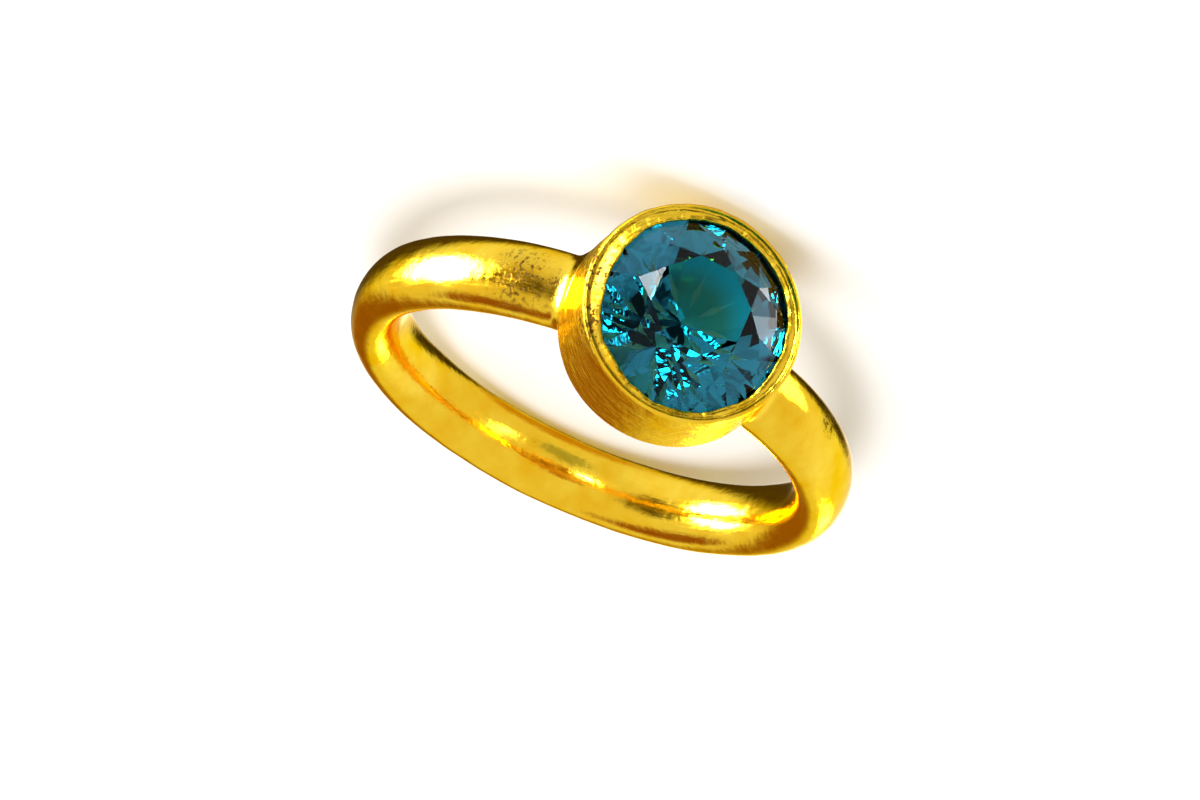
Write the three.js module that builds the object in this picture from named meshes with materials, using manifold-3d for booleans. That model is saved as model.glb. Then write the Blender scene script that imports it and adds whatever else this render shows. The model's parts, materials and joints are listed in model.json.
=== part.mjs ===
// A stackable ring: a heavy oval wire band, the round bezel soldered onto it, and the round brilliant cut stone
// that the bezel holds. Millimetres, +Z up. The ring lies on its side, as it would by itself on a table: it rests
// on the lower back edge of the bezel and on the underside of the band opposite. The bezel faces -Y, and the origin
// is the middle of the footprint. Each solid is built in the ring's own frame, with the finger hole's axis on Z and
// the bezel's axis on -Y, and the group that holds them is tilted last.
import * as THREE from "three";
import { mergeVertices } from "three/addons/utils/BufferGeometryUtils.js";
import Module from "manifold-3d";

// Band: an oval wire bent into a full circle. Its height runs along the finger.
const fingerHoleDiameter = 17.3;
const bandHeight = 3.18;
const bandThickness = 2.16;
const bandSteps = 90;
const bandSides = 20;

// Bezel: a cup on the band, a little wider at its back than at the ridge round its face.
const bezelBackDiameter = 8.93;
const bezelRidgeDiameter = 8.77;
const bezelHeight = 3.52;
const bezelWall = 0.29;
const bezelBackRounding = 0.24;
const bezelRidgeRounding = 0.17;
const bezelSegments = 64;
const roundingSteps = 4;
const bandSunkInBezel = 1.46;

// Lip: the top of the bezel's wall, pushed inwards over the edge of the stone.
const lipWidth = 0.58;
const lipThickness = 0.17;

// Solder: the band thickens in a hollow curve where it runs into the wall of the bezel.
const solderSwell = 0.3;
const solderLength = 1.1;

// Stone: heights are measured along the bezel's axis, and the widths in shares are parts of the girdle's radius.
const stoneClearance = 0.13;
const girdleThickness = 0.16;
const crownHeight = 1.45;
const pavilionDepth = 3.1;
const tableShare = 0.5;
const starShare = 0.36;
const lowerFacetShare = 0.76;
const stoneFolds = 8;

const goldColour = "#d9a520";
const stoneColour = "#1f7f8c";

// Places that follow from the sizes, as distances from the finger hole's axis along the bezel's axis.
const bandRadius = (fingerHoleDiameter + bandThickness) / 2;
const bezelBack = bandRadius + bandThickness / 2 - bandSunkInBezel;
const faceTop = bezelBack + bezelHeight;

// Radii that follow from the sizes, about the bezel's axis.
const backRadius = bezelBackDiameter / 2;
const ridgeRadius = bezelRidgeDiameter / 2;
const cavityRadius = ridgeRadius - bezelWall;
const lipRadius = ridgeRadius - lipWidth;
const girdleRadius = cavityRadius - stoneClearance;
const tableRadius = girdleRadius * tableShare;

// The crown's main facets fix how high the stone sits, as the lip is over them with the stone's clearance.
const crownSlope = crownHeight / (girdleRadius - tableRadius);
const pavilionSlope = pavilionDepth / girdleRadius;
const crownGap = stoneClearance * Math.hypot(1, crownSlope);
const pavilionGap = stoneClearance * Math.hypot(1, pavilionSlope);
const lipUnderside = faceTop - lipThickness;
const girdleTop = lipUnderside - crownGap - (girdleRadius - lipRadius) * crownSlope;
const girdleBottom = girdleTop - girdleThickness;
const tableTop = girdleTop + crownHeight;
const culet = girdleBottom - pavilionDepth;
const cavityBottom = culet - pavilionGap;

const wasm = await Module();
wasm.setup();

// A closed geometry as a solid that can be joined and cut. Faces that shrink to a line at an axis are left out.
function solidOf(geometry) {
  const bare = geometry.clone();
  bare.deleteAttribute("normal");
  bare.deleteAttribute("uv");
  const merged = mergeVertices(bare);
  const corners = [];
  for (let i = 0; i < merged.index.count; i += 3) {
    const [a, b, c] = [0, 1, 2].map((k) => merged.index.getX(i + k));
    if (a !== b && b !== c && c !== a) corners.push(a, b, c);
  }
  return new wasm.Manifold(
    new wasm.Mesh({
      numProp: 3,
      vertProperties: merged.getAttribute("position").array,
      triVerts: new Uint32Array(corners),
    }),
  );
}

function geometryOf(solid) {
  const mesh = solid.getMesh();
  const geometry = new THREE.BufferGeometry();
  geometry.setAttribute("position", new THREE.BufferAttribute(mesh.vertProperties, 3));
  geometry.setIndex(new THREE.BufferAttribute(mesh.triVerts, 1));
  return geometry;
}

// A quarter turn of a profile about a centre, outwards from one angle to the next.
function quarterTurn(centreX, centreY, radius, fromAngle) {
  return Array.from({ length: roundingSteps + 1 }, (_, i) => {
    const angle = fromAngle + (Math.PI / 2) * (i / roundingSteps);
    return [centreX + radius * Math.cos(angle), centreY + radius * Math.sin(angle)];
  });
}

// How much the solder thickens the band at an angle round the ring from the bezel's axis.
function solderAt(angle) {
  const wallAngle = Math.asin(ridgeRadius / bandRadius);
  const pastWall = (Math.abs(angle) - wallAngle) * bandRadius;
  return solderSwell * THREE.MathUtils.clamp(1 - pastWall / solderLength, 0, 1) ** 2;
}

// The band as a ring of oval sections. The side towards the finger stays a true circle all the way round.
function bandSolid() {
  const positions = [];
  for (let step = 0; step < bandSteps; step++) {
    const angle = ((step + 0.5) / bandSteps) * 2 * Math.PI - Math.PI;
    const solder = solderAt(angle);
    for (let side = 0; side < bandSides; side++) {
      const turn = ((side + 0.5) / bandSides) * 2 * Math.PI;
      const radius = bandRadius + solder / 2 + ((bandThickness + solder) / 2) * Math.cos(turn);
      const height = (bandHeight / 2 + solder) * Math.sin(turn);
      positions.push(radius * Math.sin(angle), -radius * Math.cos(angle), height);
    }
  }
  const corners = [];
  for (let step = 0; step < bandSteps; step++) {
    const here = step * bandSides;
    const next = ((step + 1) % bandSteps) * bandSides;
    for (let side = 0; side < bandSides; side++) {
      const after = (side + 1) % bandSides;
      corners.push(here + side, next + side, next + after);
      corners.push(here + side, next + after, here + after);
    }
  }
  const geometry = new THREE.BufferGeometry();
  geometry.setAttribute("position", new THREE.Float32BufferAttribute(positions, 3));
  geometry.setIndex(corners);
  return solidOf(geometry);
}

// A profile of radii and distances, turned about the bezel's axis.
function turnedSolid(profile) {
  const points = profile.map(([radius, distance]) => new THREE.Vector2(radius, distance));
  const turned = new THREE.LatheGeometry(points, bezelSegments, Math.PI / bezelSegments);
  return solidOf(turned.rotateX(Math.PI));
}

// The bezel's outside: out along the back, up the wall and in over the face.
function bezelSolid() {
  return turnedSolid([
    [0, bezelBack],
    ...quarterTurn(backRadius - bezelBackRounding, bezelBack + bezelBackRounding, bezelBackRounding, -Math.PI / 2),
    ...quarterTurn(ridgeRadius - bezelRidgeRounding, faceTop - bezelRidgeRounding, bezelRidgeRounding, 0),
    [0, faceTop],
  ]);
}

// The room for the stone: down the pavilion to the culet, with the lip's rounded edge left standing at its mouth.
function cavitySolid() {
  const edgeRadius = lipRadius + lipThickness / 2;
  const edge = quarterTurn(edgeRadius, faceTop - lipThickness / 2, lipThickness / 2, Math.PI / 2).reverse();
  return turnedSolid([
    [0, cavityBottom],
    [cavityRadius, cavityBottom + cavityRadius * pavilionSlope],
    [cavityRadius, lipUnderside - (cavityRadius - lipRadius) * crownSlope],
    [edgeRadius, lipUnderside],
    ...edge,
    [edgeRadius, tableTop],
    [0, tableTop],
  ]);
}

// The stone's corners are named by where they are: round the table, at the tips of the star facets, on the girdle's
// two edges, between the lower facets, and the culet. Every facet is flat, as its corners lie on the main facets.
// The table has a straight edge, not a corner, on each side of the ring.
function stoneSolid() {
  const fold = Math.PI / stoneFolds;
  const starRadius = THREE.MathUtils.lerp(tableRadius * Math.cos(fold), girdleRadius, starShare);
  const starTop = tableTop - (starRadius * Math.cos(fold) - tableRadius) * crownSlope;
  const lowerRadius = girdleRadius * (1 - lowerFacetShare);
  const lowerTop = culet + lowerRadius * Math.cos(fold) * pavilionSlope;
  const corner = (halfFolds, radius, distance) => {
    const angle = (halfFolds + 1) * fold;
    return new THREE.Vector3(radius * Math.sin(angle), -distance, -radius * Math.cos(angle));
  };

  const table = (i) => corner(2 * i, tableRadius, tableTop);
  const star = (i) => corner(2 * i + 1, starRadius, starTop);
  const upper = (halfFolds) => corner(halfFolds, girdleRadius, girdleTop);
  const lower = (halfFolds) => corner(halfFolds, girdleRadius, girdleBottom);
  const below = (i) => corner(2 * i + 1, lowerRadius, lowerTop);
  const tableCentre = corner(0, 0, tableTop);
  const culetPoint = corner(0, 0, culet);

  const facets = [];
  for (let i = 0; i < stoneFolds; i++) {
    const start = 2 * i;
    facets.push([tableCentre, table(i), table(i + 1)]);
    facets.push([table(i), star(i), table(i + 1)]);
    facets.push([table(i), star(i - 1), upper(start), star(i)]);
    facets.push([star(i), upper(start), upper(start + 1)]);
    facets.push([star(i), upper(start + 1), upper(start + 2)]);
    facets.push([upper(start), lower(start), lower(start + 1), upper(start + 1)]);
    facets.push([upper(start + 1), lower(start + 1), lower(start + 2), upper(start + 2)]);
    facets.push([lower(start), below(i), lower(start + 1)]);
    facets.push([lower(start + 1), below(i), lower(start + 2)]);
    facets.push([lower(start), below(i - 1), culetPoint, below(i)]);
  }
  const positions = [];
  for (const facet of facets) {
    for (let k = 1; k + 1 < facet.length; k++) {
      for (const point of [facet[0], facet[k], facet[k + 1]]) positions.push(...point.toArray());
    }
  }
  const geometry = new THREE.BufferGeometry();
  geometry.setAttribute("position", new THREE.Float32BufferAttribute(positions, 3));
  return solidOf(geometry);
}

// The tilt at which the lowest point in front of the finger hole's axis and the lowest behind it are level.
function restingTilt(solid) {
  const { vertProperties, numVert } = solid.getMesh();
  const points = Array.from({ length: numVert }, (_, i) => new THREE.Vector3().fromArray(vertProperties, 3 * i));
  const lowest = (group, tilt) => {
    const height = (point) => point.z * Math.cos(tilt) - point.y * Math.sin(tilt);
    return group.reduce((low, point) => (height(point) < height(low) ? point : low));
  };
  const front = points.filter((point) => point.y < 0);
  const back = points.filter((point) => point.y >= 0);
  let tilt = 0;
  for (let round = 0; round < 6; round++) {
    const low = lowest(front, tilt);
    const high = lowest(back, tilt);
    tilt = Math.atan2(high.z - low.z, high.y - low.y);
  }
  return tilt;
}

function meshOf(name, solid, colour, roughness) {
  const material = new THREE.MeshStandardMaterial({ color: colour, metalness: 1, roughness, flatShading: true });
  const mesh = new THREE.Mesh(geometryOf(solid), material);
  mesh.name = name;
  return mesh;
}

const setting = bandSolid().add(bezelSolid()).subtract(cavitySolid());
const lying = new THREE.Group();
lying.add(meshOf("band_and_bezel", setting, goldColour, 0.3));
lying.add(meshOf("stone", stoneSolid(), stoneColour, 0.1));
lying.rotation.x = -restingTilt(setting);

const bounds = new THREE.Box3().setFromObject(lying, true);
const middle = bounds.getCenter(new THREE.Vector3());
lying.position.set(-middle.x, -middle.y, -bounds.min.z);

const ring = new THREE.Group();
ring.add(lying);

export default ring;
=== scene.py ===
# The looks of the stackable ring: burnished yellow gold with a hand-pushed bezel, and a cut blue-green stone.
# Shapes are built in millimetres in the ring's own frame, where the finger hole's axis is Z and the bezel
# faces -Y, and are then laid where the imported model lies.
import json
import math

import bpy
from mathutils import Matrix, Vector, noise


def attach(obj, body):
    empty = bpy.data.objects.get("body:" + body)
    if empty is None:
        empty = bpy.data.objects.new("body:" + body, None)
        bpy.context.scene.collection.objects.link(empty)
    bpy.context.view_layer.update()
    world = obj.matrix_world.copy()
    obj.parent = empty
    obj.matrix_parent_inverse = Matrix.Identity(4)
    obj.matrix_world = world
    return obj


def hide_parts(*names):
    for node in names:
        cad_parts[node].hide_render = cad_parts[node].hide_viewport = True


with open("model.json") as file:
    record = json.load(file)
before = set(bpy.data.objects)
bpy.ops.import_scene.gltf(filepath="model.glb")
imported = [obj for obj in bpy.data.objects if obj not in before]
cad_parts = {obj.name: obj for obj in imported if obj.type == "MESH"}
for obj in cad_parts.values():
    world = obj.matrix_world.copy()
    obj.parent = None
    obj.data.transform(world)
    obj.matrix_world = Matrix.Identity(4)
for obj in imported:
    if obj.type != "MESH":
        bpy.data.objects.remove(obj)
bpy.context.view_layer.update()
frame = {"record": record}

MM = 0.001

# Band, in millimetres.
HOLE_RADIUS = 8.65
BAND_HEIGHT = 3.18
BAND_THICKNESS = 2.16
BAND_STEPS = 560
BAND_SIDES = 88
SOLDER_REACH = 0.55
SOLDER_HALVINGS = 18

# Bezel, in millimetres. Distances are from the finger hole's axis.
BACK_RADIUS = 4.465
RIDGE_RADIUS = 4.385
BEZEL_BACK = 9.35
FACE_TOP = 12.87
BACK_ROUNDING = 0.24
RIDGE_ROUNDING = 0.13
LIP_THICKNESS = 0.17
FACE_GROOVE = 0.07
FACE_GROOVE_SHIFT = 0.6
BEZEL_STEPS = 420

# Points along each stretch of the bezel's profile, and how many of its last rows, from the lip's underside
# inwards, show through the stone.
ROUND_STEPS = 9
BACK_STEPS = 5
WALL_STEPS = 30
FACE_STEPS = 14
UNDER_LIP_STEPS = 1
SEAT_STEPS = 6
CUP_ROWS = 13

# The lip was pushed over the stone by hand: its inner radius at eight even steps from +X towards +Z.
MOUTH_RADII = (3.52, 3.72, 3.87, 3.84, 3.77, 3.9, 3.9, 3.69)

# Stone, in millimetres.
GIRDLE_RADIUS = 3.965
TABLE_RADIUS = 1.983
STAR_RADIUS = 2.6
LOWER_RADIUS = 0.95
CROWN_HEIGHT = 1.45
GIRDLE_THICKNESS = 0.16
PAVILION_DEPTH = 3.1
GIRDLE_TOP = 12.42
STONE_FOLDS = 8
STONE_GAP = 0.02
SEAT_THICKNESS = 0.12

# The bezel's back stops this far from its axis, inside the band, where the tip of the stone passes it. The
# seat closes to a tip of its own from the second radius.
BACK_OPENING = 0.6
SEAT_TIP_RADIUS = 0.05

# Hand work leaves the surfaces uneven by waves, each with a height, a length and a seed for its noise. The
# dents only push the lip inwards.
BAND_WAVES = ((0.022, 2.6, 1), (0.008, 0.8, 2))
WALL_WAVES = ((0.02, 1.7, 3), (0.006, 0.5, 4))
FACE_WAVES = ((0.02, 1.7, 3), (0.022, 0.5, 4))
LIP_WAVES = ((0.06, 0.7, 5),)
LIP_DENTS = ((0.05, 0.35, 6),)
LIP_NOISE_RADIUS = 4
SEED_SHIFT = (17.3, 5.1, 9.7)

# How fast the waves come in from the finger's side, and how near the girdle the bezel's inside is left even.
FINGER_SIDE_FADE = 1.5
EVEN_MARGIN = 0.1

# The photo's camera: its distance from the ring's centre, its lens and its sensor's width in millimetres, and
# where the bezel's axis and the finger hole's axis point in its picture (right, up, towards the camera).
CAMERA_DISTANCE = 202.9
CAMERA_LENS = 150.0
SENSOR_WIDTH = 36.0
BEZEL_IN_PICTURE = Vector((0.278, 0.260, 0.925))
FINGER_IN_PICTURE = Vector((-0.378, -0.855, 0.355))

# The room that the gold mirrors: its own colour, and areas painted over it in turn. Each has its direction in
# the photo's picture in degrees (to the right of the camera, and up), how far from there it is full and where
# it ends, in degrees too, and its colour.
ROOM_COLOUR = (0.85, 0.82, 0.78, 1)
ROOM_AREAS = [
    (-95, 62, 15, 40, (1.0, 1.05, 1.5, 1)),  # upper left
    (132, -25, 20, 48, (1.0, 1.05, 1.6, 1)),  # right
    (-165, 26, 16, 36, (0.07, 0.05, 0.02, 1)),  # behind left shade
    (-93, 28, 15, 23, (60.0, 60.0, 60.0, 1)),  # softbox
    (-46, 27, 9, 24, (0.12, 0.09, 0.03, 1)),  # near left shade
    (-78, -36, 8, 26, (0.3, 0.11, 0.01, 1)),  # lower left gold
    (-142, -22, 14, 34, (0.3, 0.13, 0.01, 1)),  # behind below gold
    (178, -8, 4, 16, (2.2, 2.1, 2.0, 1)),  # behind glow
    (160, -36, 4, 11, (14.0, 14.0, 14.0, 1)),  # right strip
    (146, 13, 10, 20, (0.05, 0.04, 0.02, 1)),  # right shade
    (135, 50, 10, 26, (0.6, 0.36, 0.05, 1)),  # above right gold
    (37, 47, 6, 18, (0.42, 0.45, 0.4, 1)),  # near right shade
]

# The even light that the floor gets in place of the room.
ROOM_ON_FLOOR = (0.85, 0.85, 0.85, 1)

# The first facets in each fold of the stone, and the lamps that single facets mirror: the fold, the facet and
# the brightness. Distances and sizes of the lamps and of the card for the table are in millimetres.
FACET_ORDER = ("star", "kite", "upper_start", "upper_end")
FACET_GLINTS = [(1, "star", 30.0), (6, "upper_start", 4.5), (5, "upper_end", 3.0), (6, "kite", 0.8)]
GLINT_DISTANCE = 12
GLINT_SIZE = 5.0
TABLE_SHADE_DISTANCE = 7
TABLE_SHADE_RADIUS = 2.7

# The soft lamp overhead: its place from the ring's centre in metres (right, up, towards the camera), its size
# in millimetres and its brightness. Every lamp has this many watts to a square metre at a brightness of 1.
OVERHEAD_PLACE = Vector((-0.12, -0.34, 0.24))
OVERHEAD_SIZE = 300
OVERHEAD_BRIGHTNESS = 3.0
LAMP_POWER = 4

# What the stone's own light comes from: soft light that varies slowly, dark areas that show to the left of
# its table, and areas with small bright patches that make the sparkles at its left and its bottom left. The
# edges are where the noise starts to turn from the first colour to the second, and where it has turned.
SOFT_THROUGH_STONE = ((0.38, 0.32, 0.32, 1), (0.68, 0.62, 0.62, 1))
SOFT_SCALE = 6.0
SOFT_EDGES = (0.35, 0.65)
DARK_AREAS = [(31, -2, 9, 15), (33, 32, 7, 14), (48, 8, 12, 20), (5, 44, 6, 12)]
SPARKLE_AREAS = [(-7, 37, 11, 15), (27, -22, 8, 13)]
PATCH_DARK = (0.02, 0.02, 0.02, 1)
PATCH_BRIGHT = (2.0, 13.0, 13.0, 1)
PATCH_SCALE = 20.0
PATCH_EDGES = (0.5, 0.62)

# The gold's colour where it is deep and where it is bright, the dark of its pits and of the painted dark
# reflection on places of wear, how strongly such a place is darkened all over by that painted reflection and
# pitted, and how much rougher and deeper its pits are.
GOLD_DEEP = (0.94, 0.54, 0.015)
GOLD_BRIGHT = (1.0, 0.68, 0.045)
PIT_AND_DARK_REFLECTION_COLOUR = (0.13, 0.065, 0.01, 1)
PAINTED_DARK_REFLECTION_SHARE = 0.35
WEAR_AND_REFLECTION_STRENGTH = 1.3
PIT_ROUGHNESS = 0.25
PIT_DEPTH = 0.12

# The gold's noises, in waves to a metre, and the brush lines' in waves to a millimetre, stretched along them.
COLOUR_SCALE = 800.0
PIT_SCALE = 5200.0
HAMMER_SCALE = 2400.0
BRUSH_SCALE = 9.0
BRUSH_STRETCH = (0.12, 1.0, 1.0)

# The colours of the cup behind the stone, each at a share of the girdle's radius: foot, wall and lip. The
# near-black at the lip is painted shade under the lip.
CUP_COLOURS = [
    (0.36, (1.0, 0.5, 0.25, 1)),
    (0.56, (0.5, 0.85, 0.75, 1)),
    (0.82, (0.5, 0.85, 0.75, 1)),
    # Painted shade under the lip.
    (0.91, (0.03, 0.03, 0.02, 1)),
]

# Places where the gold is pitted and darkened with a painted dark reflection: a point in the ring's own
# frame, and how far the wear and the painted reflection reach.
WEAR_AND_DARK_REFLECTION_PLACES = [
    ((6.2, -8.8, 0.3), 1.6),
    ((5.0, -9.5, 0.4), 1.0),
    ((4.1, -12.8, 0.3), 1.7),
    ((3.4, -12.8, 2.2), 1.5),
    ((-7.5, -7.5, -0.8), 0.9),
]

BAND_RADIUS = HOLE_RADIUS + BAND_THICKNESS / 2
TABLE_TOP = GIRDLE_TOP + CROWN_HEIGHT
CULET = GIRDLE_TOP - GIRDLE_THICKNESS - PAVILION_DEPTH

# Where the ring lies. The record's mount is a point of the bezel's flat back, away from the floor.
MOUNT_ABOVE_MIDDLE = 3.0
mount = frame["record"]["mounts"][0]
back_axis = Vector(mount["axis"]).normalized()
across = Vector((1, 0, 0))
finger_axis = across.cross(back_axis)
centre = Vector(mount["pos_m"]) + back_axis * (BEZEL_BACK * MM) - finger_axis * (MOUNT_ABOVE_MIDDLE * MM)
turned = Matrix((across, back_axis, finger_axis)).transposed().to_4x4()
LAID = Matrix.Translation(centre) @ turned @ Matrix.Scale(MM, 4)


def laid_mesh(name, points, faces, smooth):
    """A mesh object from points in the ring's own frame, laid where the ring lies."""
    mesh = bpy.data.meshes.new(name)
    mesh.from_pydata([LAID @ Vector(point) for point in points], [], faces)
    mesh.validate()
    mesh.polygons.foreach_set("use_smooth", [smooth] * len(mesh.polygons))
    piece = bpy.data.objects.new(name, mesh)
    bpy.context.scene.collection.objects.link(piece)
    return piece


def mark_gold(piece, points, grain, length_round):
    """Give a gold piece what its material reads: coordinates that follow the brushing, and how strongly it is
    pitted and darkened with a painted dark reflection.

    The first coordinate runs round the piece and starts again after `length_round`.
    """
    mesh = piece.data
    followed = []
    for face in mesh.polygons:
        places = [grain[i] for i in face.vertices]
        furthest = max(place[0] for place in places)
        for along, *rest in places:
            starts_again = furthest - along > length_round / 2
            followed += [along + length_round if starts_again else along, *rest]
    mesh.attributes.new("grain", "FLOAT_VECTOR", "CORNER").data.foreach_set("vector", followed)
    # How strongly each point is pitted and darkened with a painted dark reflection, fading out from each
    # place.
    wear_and_dark_reflection = []
    for point in points:
        reach = [1 - (Vector(point) - Vector(place)).length / radius for place, radius in WEAR_AND_DARK_REFLECTION_PLACES]
        wear_and_dark_reflection.append(max(0.0, *reach))
    mesh.attributes.new("wear_and_dark_reflection", "FLOAT", "POINT").data.foreach_set("value", wear_and_dark_reflection)


def grid_faces(rows, columns, wrap_rows=False):
    """Quads over a grid of points whose last column joins its first, and whose last row does if asked."""
    faces = []
    for i in range(rows if wrap_rows else rows - 1):
        here = i * columns
        after = ((i + 1) % rows) * columns
        for j in range(columns):
            k = (j + 1) % columns
            faces.append((here + j, here + k, after + k, after + j))
    return faces


def angle_round(rise, run):
    """The angle of a direction, from 0 to a full turn."""
    return math.atan2(rise, run) % (2 * math.pi)


def wobble(point, scale, seed):
    """Smooth noise between about -1 and 1 at a point, with waves about `scale` millimetres apart."""
    return noise.noise(Vector(point) / scale + Vector([seed * shift for shift in SEED_SHIFT]))


def unevenness(point, waves):
    """How far waves move a surface out at a point."""
    return sum(height * wobble(point, length, seed) for height, length, seed in waves)


def bezel_distance(point):
    """How far a point is outside the bezel's body, taken as a cylinder with a rounded back edge."""
    around = math.hypot(point[0], point[2]) - (BACK_RADIUS - BACK_ROUNDING)
    along = (BEZEL_BACK + BACK_ROUNDING) + point[1]
    outside = math.hypot(max(around, 0), max(along, 0)) + min(max(around, along), 0)
    return outside - BACK_ROUNDING


def under_cup(point):
    """A point of the band, kept below the bezel's seat where the band passes under the stone."""
    around = math.hypot(point[0], point[2])
    if around > GIRDLE_RADIUS:
        return point
    seat = GIRDLE_TOP - GIRDLE_THICKNESS - (GIRDLE_RADIUS - around) * PAVILION_DEPTH / GIRDLE_RADIUS
    return Vector((point[0], max(point[1], SEAT_THICKNESS - seat), point[2]))


def solder_push(point, outward):
    """How far the band's surface moves out so that it runs into the bezel in a hollow curve of solder."""
    if bezel_distance(point) >= SOLDER_REACH:
        return 0.0
    low, high = 0.0, SOLDER_REACH
    for _ in range(SOLDER_HALVINGS):
        middle = (low + high) / 2
        gap = max(bezel_distance(point + outward * middle), 0.0)
        blend = max(SOLDER_REACH - abs(middle - gap), 0.0) / SOLDER_REACH
        inside = min(middle, gap) - blend * blend * SOLDER_REACH / 4 < 0
        low, high = (middle, high) if inside else (low, middle)
    return low


def band_piece():
    """The oval wire, bent by hand into a ring, with solder where it meets the bezel."""
    half_thickness = BAND_THICKNESS / 2
    half_height = BAND_HEIGHT / 2
    points = []
    for i in range(BAND_STEPS):
        angle = 2 * math.pi * i / BAND_STEPS
        out = Vector((math.sin(angle), -math.cos(angle), 0))
        for j in range(BAND_SIDES):
            round_wire = 2 * math.pi * j / BAND_SIDES
            out_share, up_share = math.cos(round_wire), math.sin(round_wire)
            base = out * (BAND_RADIUS + half_thickness * out_share) + Vector((0, 0, half_height * up_share))
            outward = out * (out_share * half_height) + Vector((0, 0, up_share * half_thickness))
            outward.normalize()
            away_from_finger = min(1.0, (1 + out_share) * FINGER_SIDE_FADE)
            push = solder_push(base, outward) * away_from_finger
            waves = unevenness(base, BAND_WAVES) * away_from_finger
            points.append(under_cup(base + outward * (waves + push)))
    band = laid_mesh("gold_band", points, grid_faces(BAND_STEPS, BAND_SIDES, wrap_rows=True), True)
    grain = [(angle_round(x, -y) * BAND_RADIUS, math.hypot(x, y), z) for x, y, z in points]
    mark_gold(band, points, grain, 2 * math.pi * BAND_RADIUS)
    return band


def arc(centre_radius, centre_distance, radius, start, end, steps):
    """Points and outward normals of part of a circle in a profile of radius against distance."""
    made = []
    for i in range(steps):
        angle = start + (end - start) * i / (steps - 1)
        normal = (math.cos(angle), math.sin(angle))
        made.append((centre_radius + radius * normal[0], centre_distance + radius * normal[1], normal))
    return made


def straight(start, end, steps):
    """Points and outward normals of a straight stretch of a profile, without its two ends."""
    run, rise = end[0] - start[0], end[1] - start[1]
    length = math.hypot(run, rise)
    normal = (rise / length, -run / length)
    made = []
    for i in range(1, steps + 1):
        made.append((start[0] + run * i / (steps + 1), start[1] + rise * i / (steps + 1), normal))
    return made


def mouth_radius(angle):
    """The lip's inner radius at an angle round the bezel, counted from +X towards +Z."""
    count = len(MOUTH_RADII)
    step = angle / (2 * math.pi) * count
    share = (1 - math.cos(math.pi * (step % 1))) / 2
    pushed = MOUTH_RADII[int(step) % count] * (1 - share) + MOUTH_RADII[(int(step) + 1) % count] * share
    rim_point = (LIP_NOISE_RADIUS * math.cos(angle), LIP_NOISE_RADIUS * math.sin(angle), 0)
    return pushed + unevenness(rim_point, LIP_WAVES) + min(0, unevenness(rim_point, LIP_DENTS))


def bezel_profile(angle):
    """The bezel's profile at an angle: back, wall, ridge, face, lip, and the seat inside under the stone."""
    mouth = mouth_radius(angle)
    edge = LIP_THICKNESS / 2
    crown_slope = CROWN_HEIGHT / (GIRDLE_RADIUS - TABLE_RADIUS)
    pavilion_slope = PAVILION_DEPTH / GIRDLE_RADIUS
    crown_at_mouth = GIRDLE_TOP + (GIRDLE_RADIUS - mouth) * crown_slope + STONE_GAP
    lip_middle = crown_at_mouth + edge
    ridge_middle = FACE_TOP - RIDGE_ROUNDING
    seat_radius = GIRDLE_RADIUS + STONE_GAP
    seat_top = GIRDLE_TOP - GIRDLE_THICKNESS - STONE_GAP
    back_middle = BEZEL_BACK + BACK_ROUNDING
    back = arc(BACK_RADIUS - BACK_ROUNDING, back_middle, BACK_ROUNDING, -math.pi / 2, 0, ROUND_STEPS)
    ridge = arc(RIDGE_RADIUS - RIDGE_ROUNDING, ridge_middle, RIDGE_ROUNDING, 0, math.pi / 2, ROUND_STEPS)
    lip = arc(mouth + edge, lip_middle, edge, math.pi / 2, 3 * math.pi / 2, ROUND_STEPS)
    seat = [(seat_radius, GIRDLE_TOP, (-1, 0)), (seat_radius, seat_top, (-1, 0))]
    rows = straight((BACK_OPENING, BEZEL_BACK), back[0], BACK_STEPS) + back
    rows += straight(back[-1], ridge[0], WALL_STEPS) + ridge
    face = straight(ridge[-1], lip[0], FACE_STEPS)
    for i, (radius, distance, normal) in enumerate(face):
        across_face = ((i + 1) / (len(face) + 1)) ** FACE_GROOVE_SHIFT
        rows.append((radius, distance - FACE_GROOVE * math.sin(math.pi * across_face) ** 2, normal))
    rows += lip
    rows += straight(lip[-1], seat[0], UNDER_LIP_STEPS) + seat
    bottom = (SEAT_TIP_RADIUS, seat_top - seat_radius * pavilion_slope + SEAT_TIP_RADIUS * pavilion_slope)
    rows += straight(seat[-1], bottom, SEAT_STEPS)
    return rows


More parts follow.
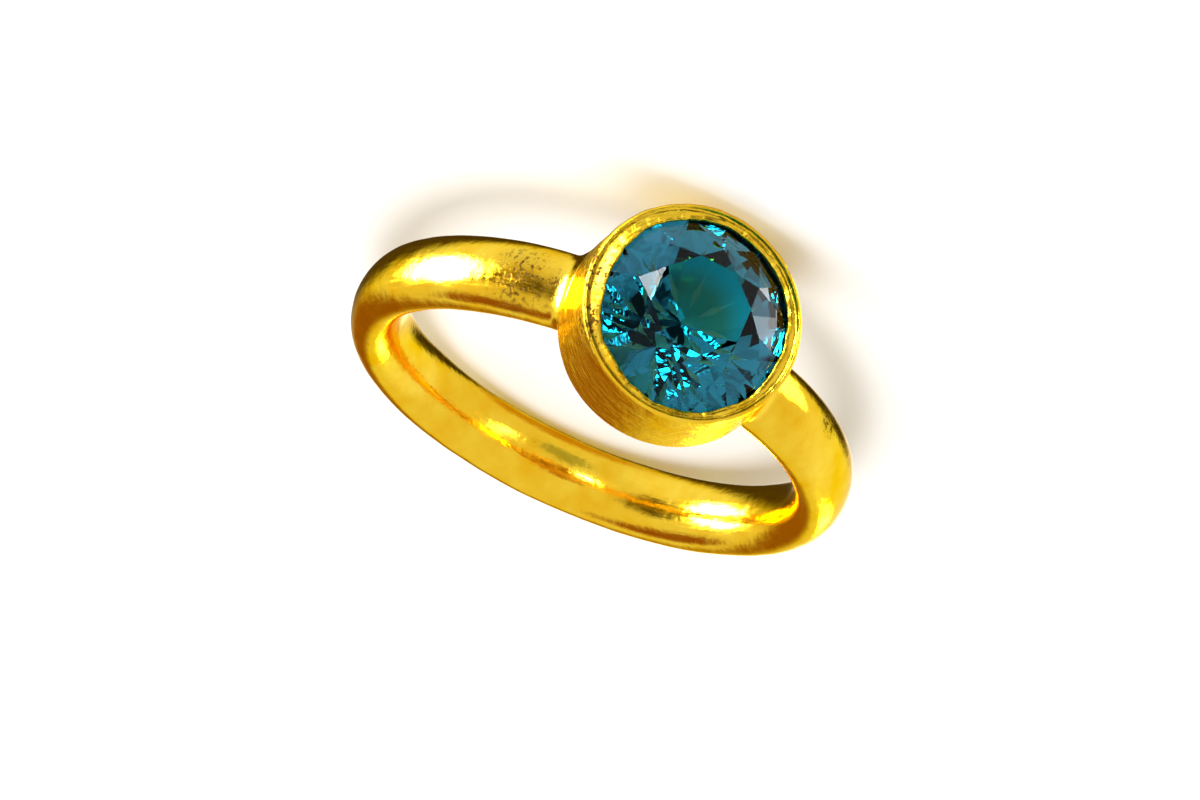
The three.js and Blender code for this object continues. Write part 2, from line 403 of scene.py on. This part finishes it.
def bezel_piece():
    """The bezel, turned about its axis but uneven all over, as it is filed and burnished by hand."""
    columns = []
    for i in range(BEZEL_STEPS):
        angle = 2 * math.pi * i / BEZEL_STEPS
        column = []
        for radius, distance, (normal_out, normal_along) in bezel_profile(angle):
            base = Vector((radius * math.cos(angle), -distance, radius * math.sin(angle)))
            outward = Vector((normal_out * math.cos(angle), -normal_along, normal_out * math.sin(angle)))
            on_face = distance > GIRDLE_TOP + EVEN_MARGIN
            in_cup = radius < GIRDLE_RADIUS + EVEN_MARGIN and not on_face
            waves = unevenness(base, FACE_WAVES if on_face else WALL_WAVES)
            column.append(base if in_cup else base + outward * waves)
        columns.append(column)
    rows = len(columns[0])
    points = [columns[j][i] for i in range(rows) for j in range(BEZEL_STEPS)]
    faces = [tuple(reversed(face)) for face in grid_faces(rows, BEZEL_STEPS)]
    tip = len(points)
    points.append(Vector((0, -(CULET - STONE_GAP), 0)))
    last = (rows - 1) * BEZEL_STEPS
    for j in range(BEZEL_STEPS):
        faces.append((tip, last + (j + 1) % BEZEL_STEPS, last + j))
    bezel = laid_mesh("gold_bezel", points, faces, True)
    first_in_cup = (rows - CUP_ROWS) * BEZEL_STEPS
    for face in bezel.data.polygons:
        face.material_index = 1 if min(face.vertices) >= first_in_cup else 0
    grain = [(angle_round(z, x) * BACK_RADIUS, math.hypot(x, z), y) for x, y, z in points]
    mark_gold(bezel, points, grain, 2 * math.pi * BACK_RADIUS)
    return bezel


def stone_piece():
    """The round brilliant, facet by facet, with those under the girdle marked as uneven for the material."""
    fold = math.pi / STONE_FOLDS
    crown_slope = CROWN_HEIGHT / (GIRDLE_RADIUS - TABLE_RADIUS)
    pavilion_slope = PAVILION_DEPTH / GIRDLE_RADIUS
    star_top = TABLE_TOP - (STAR_RADIUS * math.cos(fold) - TABLE_RADIUS) * crown_slope
    lower_top = CULET + LOWER_RADIUS * math.cos(fold) * pavilion_slope
    points, faces = [], []

    def corner(half_folds, radius, distance):
        angle = (half_folds + 1) * fold
        return (radius * math.sin(angle), -distance, -radius * math.cos(angle))

    def facet(*corners):
        faces.append(tuple(range(len(points), len(points) + len(corners))))
        points.extend(corners)

    def table(i):
        return corner(2 * i, TABLE_RADIUS, TABLE_TOP)

    def star(i):
        return corner(2 * i + 1, STAR_RADIUS, star_top)

    def upper(half_folds):
        return corner(half_folds, GIRDLE_RADIUS, GIRDLE_TOP)

    def lower(half_folds):
        return corner(half_folds, GIRDLE_RADIUS, GIRDLE_TOP - GIRDLE_THICKNESS)

    def below(i):
        return corner(2 * i + 1, LOWER_RADIUS, lower_top)

    culet = corner(0, 0, CULET)
    facet(*[table(i) for i in range(STONE_FOLDS)])
    for i in range(STONE_FOLDS):
        start = 2 * i
        facet(table(i), star(i), table(i + 1))
        facet(table(i), star(i - 1), upper(start), star(i))
        facet(star(i), upper(start), upper(start + 1))
        facet(star(i), upper(start + 1), upper(start + 2))
        facet(upper(start), lower(start), lower(start + 1), upper(start + 1))
        facet(upper(start + 1), lower(start + 1), lower(start + 2), upper(start + 2))
        facet(lower(start), below(i), lower(start + 1))
        facet(lower(start + 1), below(i), lower(start + 2))
        facet(lower(start), below(i - 1), culet, below(i))
    stone = laid_mesh("cut_stone", points, faces, False)
    under_girdle = [1.0 if -point[1] < GIRDLE_TOP - GIRDLE_THICKNESS / 2 else 0.0 for point in points]
    facets = stone.data.attributes.new("uneven", "FLOAT", "FACE")
    facets.data.foreach_set("value", [min(under_girdle[i] for i in face) for face in faces])
    return stone


def gold_material(name, smoothest, roughest, brushing, hammering):
    """Burnished gold with lines left by the brush, dark pits and a painted dark reflection where it shows
    wear, and an uneven colour.
    """
    material = bpy.data.materials.new(name)
    material.use_nodes = True
    nodes, links = material.node_tree.nodes, material.node_tree.links
    shader = nodes["Principled BSDF"]
    shader.inputs["Metallic"].default_value = 1.0
    shader.inputs["Specular Tint"].default_value = (1.0, 0.85, 0.4, 1)

    def marked(attribute, output):
        made = nodes.new("ShaderNodeAttribute")
        made.attribute_name = attribute
        return made.outputs[output]

    def noise_of(source, scale, detail):
        made = nodes.new("ShaderNodeTexNoise")
        made.inputs["Scale"].default_value = scale
        made.inputs["Detail"].default_value = detail
        links.new(source, made.inputs["Vector"])
        return made.outputs["Fac"]

    def ramp(source, low, low_colour, high, high_colour):
        made = nodes.new("ShaderNodeValToRGB")
        links.new(source, made.inputs["Fac"])
        ends = made.color_ramp.elements
        ends[0].position, ends[0].color = low, (*low_colour, 1)
        ends[1].position, ends[1].color = high, (*high_colour, 1)
        return made.outputs["Color"]

    def worked_out(operation, first, second):
        """One value added to another, taken from it or multiplied by it. The second may be a plain number."""
        made = nodes.new("ShaderNodeMath")
        made.operation = operation
        links.new(first, made.inputs[0])
        if isinstance(second, float):
            made.inputs[1].default_value = second
        else:
            links.new(second, made.inputs[1])
        return made.outputs[0]

    grain = marked("grain", "Vector")
    wear_and_dark_reflection = marked("wear_and_dark_reflection", "Fac")
    stretched = nodes.new("ShaderNodeMapping")
    stretched.inputs["Scale"].default_value = BRUSH_STRETCH
    links.new(grain, stretched.inputs["Vector"])
    brushed = noise_of(stretched.outputs["Vector"], BRUSH_SCALE, 5)
    place = nodes.new("ShaderNodeTexCoord").outputs["Object"]
    patches = noise_of(place, COLOUR_SCALE, 3)
    spots = ramp(noise_of(place, PIT_SCALE, 4), 0.52, (0,) * 3, 0.59, (1,) * 3)
    strength = worked_out("MULTIPLY", wear_and_dark_reflection, WEAR_AND_REFLECTION_STRENGTH)
    # Places of wear are pitted, and are darkened all over as a painted dark reflection.
    pits_and_dark_reflection = worked_out("MULTIPLY", worked_out("ADD", spots, PAINTED_DARK_REFLECTION_SHARE), strength)

    colour = nodes.new("ShaderNodeMix")
    colour.data_type = "RGBA"
    colour.clamp_factor = True
    links.new(pits_and_dark_reflection, colour.inputs[0])
    links.new(ramp(patches, 0.3, GOLD_DEEP, 0.7, GOLD_BRIGHT), colour.inputs[6])
    colour.inputs[7].default_value = PIT_AND_DARK_REFLECTION_COLOUR
    links.new(colour.outputs[2], shader.inputs["Base Color"])
    gloss = ramp(brushed, 0.3, (smoothest,) * 3, 0.72, (roughest,) * 3)
    rough_pits = worked_out("MULTIPLY", pits_and_dark_reflection, PIT_ROUGHNESS)
    links.new(worked_out("ADD", gloss, rough_pits), shader.inputs["Roughness"])

    lines = worked_out("MULTIPLY", brushed, brushing)
    hammered = worked_out("MULTIPLY", noise_of(place, HAMMER_SCALE, 2), hammering)
    deep_pits = worked_out("MULTIPLY", pits_and_dark_reflection, PIT_DEPTH)
    height = worked_out("SUBTRACT", worked_out("ADD", lines, hammered), deep_pits)
    bump = nodes.new("ShaderNodeBump")
    bump.inputs["Strength"].default_value = 0.5
    bump.inputs["Distance"].default_value = 0.00004
    links.new(height, bump.inputs["Height"])
    links.new(bump.outputs["Normal"], shader.inputs["Normal"])
    return material


def stone_material():
    """Clear blue-green stone that bends light strongly and takes the red out of it on the way."""
    material = bpy.data.materials.new("blue_green_stone")
    material.use_nodes = True
    nodes, links = material.node_tree.nodes, material.node_tree.links
    shader = nodes["Principled BSDF"]
    shader.inputs["Base Color"].default_value = (0.45, 0.92, 1.0, 1)
    shader.inputs["Roughness"].default_value = 0.0
    shader.inputs["IOR"].default_value = 1.72
    shader.inputs["Specular Tint"].default_value = (0.15, 0.15, 0.15, 1)
    shader.inputs["Transmission Weight"].default_value = 1.0
    absorption = nodes.new("ShaderNodeVolumeAbsorption")
    absorption.inputs["Color"].default_value = (0.1, 0.66, 0.75, 1)
    absorption.inputs["Density"].default_value = 370.0
    links.new(absorption.outputs["Volume"], nodes["Material Output"].inputs["Volume"])
    place = nodes.new("ShaderNodeTexCoord")
    uneven = nodes.new("ShaderNodeTexNoise")
    uneven.inputs["Scale"].default_value = 900.0
    uneven.inputs["Detail"].default_value = 2.0
    links.new(place.outputs["Object"], uneven.inputs["Vector"])
    facet = nodes.new("ShaderNodeAttribute")
    facet.attribute_name = "uneven"
    bump = nodes.new("ShaderNodeBump")
    bump.inputs["Distance"].default_value = 0.000012
    links.new(facet.outputs["Fac"], bump.inputs["Strength"])
    links.new(uneven.outputs["Fac"], bump.inputs["Height"])
    links.new(bump.outputs["Normal"], shader.inputs["Normal"])
    return material


def cup_material():
    """The cup behind the stone, which shows through it: gold at its foot, grey, and painted shade at the lip.
    """
    material = bpy.data.materials.new("gold_cup")
    material.use_nodes = True
    nodes, links = material.node_tree.nodes, material.node_tree.links
    shader = nodes["Principled BSDF"]
    shader.inputs["Metallic"].default_value = 0.3
    shader.inputs["Roughness"].default_value = 0.6
    grain = nodes.new("ShaderNodeAttribute")
    grain.attribute_name = "grain"
    parts = nodes.new("ShaderNodeSeparateXYZ")
    links.new(grain.outputs["Vector"], parts.inputs["Vector"])
    depth = nodes.new("ShaderNodeMapRange")
    links.new(parts.outputs["Y"], depth.inputs["Value"])
    depth.inputs["From Max"].default_value = GIRDLE_RADIUS
    colour = nodes.new("ShaderNodeValToRGB")
    links.new(depth.outputs["Result"], colour.inputs["Fac"])
    foot, lip = colour.color_ramp.elements
    foot.position, foot.color = CUP_COLOURS[0]
    # The last colour, at the lip, is painted shade under the lip.
    lip.position, lip.color = CUP_COLOURS[-1]
    for position, shade in CUP_COLOURS[1:-1]:
        colour.color_ramp.elements.new(position).color = shade
    links.new(colour.outputs["Color"], shader.inputs["Base Color"])
    return material


def floor_piece():
    """A plain pale floor that runs past every edge of the picture."""
    half = 1.5
    mesh = bpy.data.meshes.new("floor")
    corners = [(-half, -half, 0), (half, -half, 0), (half, half, 0), (-half, half, 0)]
    mesh.from_pydata(corners, [], [(0, 1, 2, 3)])
    floor = bpy.data.objects.new("floor", mesh)
    bpy.context.scene.collection.objects.link(floor)
    material = bpy.data.materials.new("pale_floor")
    material.use_nodes = True
    shader = material.node_tree.nodes["Principled BSDF"]
    shader.inputs["Base Color"].default_value = (0.84, 0.84, 0.84, 1)
    shader.inputs["Roughness"].default_value = 0.85
    shader.inputs["Specular IOR Level"].default_value = 0.0
    mesh.materials.append(material)
    floor.visible_glossy = False
    floor.visible_transmission = False


def camera():
    """The photo's camera. The ring is laid the other way up, so the camera is rolled with it."""
    bezel_world = -back_axis
    finger_picture = (FINGER_IN_PICTURE - BEZEL_IN_PICTURE * FINGER_IN_PICTURE.dot(BEZEL_IN_PICTURE)
                      / BEZEL_IN_PICTURE.length_squared).normalized()
    bezel_picture = BEZEL_IN_PICTURE.normalized()
    picture = Matrix((finger_picture.cross(bezel_picture), finger_picture, bezel_picture))
    world = Matrix((finger_axis.cross(bezel_world), finger_axis, bezel_world)).transposed()
    turn = world @ picture
    lens = bpy.data.cameras.new("camera")
    lens.sensor_width = SENSOR_WIDTH
    lens.lens = CAMERA_LENS
    lens.clip_start = 0.005
    made = bpy.data.objects.new("camera", lens)
    place = centre + turn @ Vector((0, 0, CAMERA_DISTANCE * MM))
    made.matrix_world = Matrix.Translation(place) @ turn.to_4x4()
    bpy.context.scene.collection.objects.link(made)
    bpy.context.scene.camera = made
    return turn


def mirror_place(at, facing, distance):
    """A place, so many millimetres away, that a surface at a point mirrors into the camera."""
    seen = (bpy.context.scene.camera.matrix_world.translation - at).normalized()
    return at + (2 * facing.dot(seen) * facing - seen) * (distance * MM)


def facing_matrix(place, target):
    """Where a light or card goes so that it faces a target."""
    return Matrix.Translation(place) @ (place - target).to_track_quat("Z", "Y").to_matrix().to_4x4()


def light(name, place, target, size, brightness, lights_floor):
    """A soft square light, `size` millimetres wide, that either lights the floor or shows in reflections."""
    lamp = bpy.data.lights.new(name, "AREA")
    lamp.size = size * MM
    lamp.energy = LAMP_POWER * brightness * lamp.size ** 2
    made = bpy.data.objects.new(name, lamp)
    made.matrix_world = facing_matrix(place, target)
    made.visible_camera = False
    made.visible_diffuse = lights_floor
    made.visible_glossy = not lights_floor
    made.visible_transmission = False
    bpy.context.scene.collection.objects.link(made)


def card(name, place, target, radius):
    """A dark disc that only shows in reflections, as a photographer's black flag does."""
    mesh = bpy.data.meshes.new(name)
    sides = 24
    corners = [(math.cos(2 * math.pi * i / sides), math.sin(2 * math.pi * i / sides)) for i in range(sides)]
    mesh.from_pydata([(x * radius * MM, y * radius * MM, 0) for x, y in corners], [], [tuple(range(sides))])
    material = bpy.data.materials.new(name)
    material.use_nodes = True
    shader = material.node_tree.nodes["Principled BSDF"]
    shader.inputs["Base Color"].default_value = (0.01, 0.01, 0.01, 1)
    shader.inputs["Roughness"].default_value = 1.0
    mesh.materials.append(material)
    made = bpy.data.objects.new(name, mesh)
    made.matrix_world = facing_matrix(place, target)
    made.visible_camera = False
    made.visible_diffuse = False
    made.visible_transmission = False
    made.visible_shadow = False
    bpy.context.scene.collection.objects.link(made)


def in_picture(right, up):
    """The direction in the world that lies so many degrees to the right of the photo's camera, and up."""
    right, up = math.radians(right), math.radians(up)
    direction = Vector((math.sin(right) * math.cos(up), math.sin(up), math.cos(right) * math.cos(up)))
    return camera_turn @ direction


def world_light():
    """The room for reflections, the light that comes through the stone, and even light on the floor."""
    world = bpy.data.worlds.new("studio")
    world.use_nodes = True
    nodes, links = world.node_tree.nodes, world.node_tree.links
    direction = nodes.new("ShaderNodeTexCoord").outputs["Generated"]

    def blend(share, below, above):
        """One colour over another. Each is a colour, or the output of another node."""
        made = nodes.new("ShaderNodeMix")
        made.data_type = "RGBA"
        links.new(share, made.inputs[0])
        for socket, colour in ((made.inputs[6], below), (made.inputs[7], above)):
            if isinstance(colour, tuple):
                socket.default_value = colour
            else:
                links.new(colour, socket)
        return made.outputs[2]

    def area(right, up, full, end):
        """How far a direction is inside a round area: 1 in its middle, 0 outside it."""
        facing = nodes.new("ShaderNodeVectorMath")
        facing.operation = "DOT_PRODUCT"
        links.new(direction, facing.inputs[0])
        facing.inputs[1].default_value = in_picture(right, up)
        share = nodes.new("ShaderNodeMapRange")
        share.interpolation_type = "SMOOTHSTEP"
        links.new(facing.outputs["Value"], share.inputs["Value"])
        share.inputs["From Min"].default_value = math.cos(math.radians(end))
        share.inputs["From Max"].default_value = math.cos(math.radians(full))
        return share.outputs["Result"]

    def patches(scale, low, high):
        """Uneven patches all round, from 0 where the noise is under `low` to 1 where it is over `high`."""
        made = nodes.new("ShaderNodeTexNoise")
        made.inputs["Scale"].default_value = scale
        made.inputs["Detail"].default_value = 1.0
        links.new(direction, made.inputs["Vector"])
        share = nodes.new("ShaderNodeMapRange")
        share.interpolation_type = "SMOOTHSTEP"
        links.new(made.outputs["Fac"], share.inputs["Value"])
        share.inputs["From Min"].default_value = low
        share.inputs["From Max"].default_value = high
        return share.outputs["Result"]

    room = ROOM_COLOUR
    for *where, colour in ROOM_AREAS:
        room = blend(area(*where), room, colour)
    through_stone = blend(patches(SOFT_SCALE, *SOFT_EDGES), *SOFT_THROUGH_STONE)
    for where in DARK_AREAS:
        through_stone = blend(area(*where), through_stone, PATCH_DARK)
    sparkles = blend(patches(PATCH_SCALE, *PATCH_EDGES), PATCH_DARK, PATCH_BRIGHT)
    for where in SPARKLE_AREAS:
        through_stone = blend(area(*where), through_stone, sparkles)
    path = nodes.new("ShaderNodeLightPath")
    seen = blend(path.outputs["Is Transmission Ray"], room, through_stone)
    seen = blend(path.outputs["Diffuse Depth"], seen, ROOM_ON_FLOOR)
    links.new(seen, nodes["Background"].inputs["Color"])
    bpy.context.scene.world = world


def facet_glints(stone):
    """Small lamps that single facets mirror, and a dark card for the table to mirror."""
    facets = stone.data.polygons
    per_fold = (len(facets) - 1) // STONE_FOLDS
    for fold, facet, brightness in FACET_GLINTS:
        face = facets[1 + fold * per_fold + FACET_ORDER.index(facet)]
        place = mirror_place(face.center, face.normal, GLINT_DISTANCE)
        light(f"glint_{facet}_{fold}", place, face.center, GLINT_SIZE, brightness, False)
    table = facets[0]
    place = mirror_place(table.center, table.normal, TABLE_SHADE_DISTANCE)
    card("table_shade", place, table.center, TABLE_SHADE_RADIUS)


camera_turn = camera()
bpy.context.scene.view_settings.view_transform = "Standard"
world_light()
floor_piece()
overhead_place = centre + camera_turn @ OVERHEAD_PLACE
light("overhead", overhead_place, centre, OVERHEAD_SIZE, OVERHEAD_BRIGHTNESS, True)

cup = cup_material()
band_gold = gold_material("band_gold", smoothest=0.07, roughest=0.22, brushing=0.2, hammering=0.8)
bezel_gold = gold_material("bezel_gold", smoothest=0.14, roughest=0.36, brushing=0.9, hammering=2.0)
for piece, gold in ((band_piece(), band_gold), (bezel_piece(), bezel_gold)):
    piece.data.materials.append(gold)
    piece.data.materials.append(cup)
    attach(piece, "root")
    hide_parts("band_and_bezel")
stone = stone_piece()
stone.data.materials.append(stone_material())
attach(stone, "root")
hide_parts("stone")
facet_glints(stone)
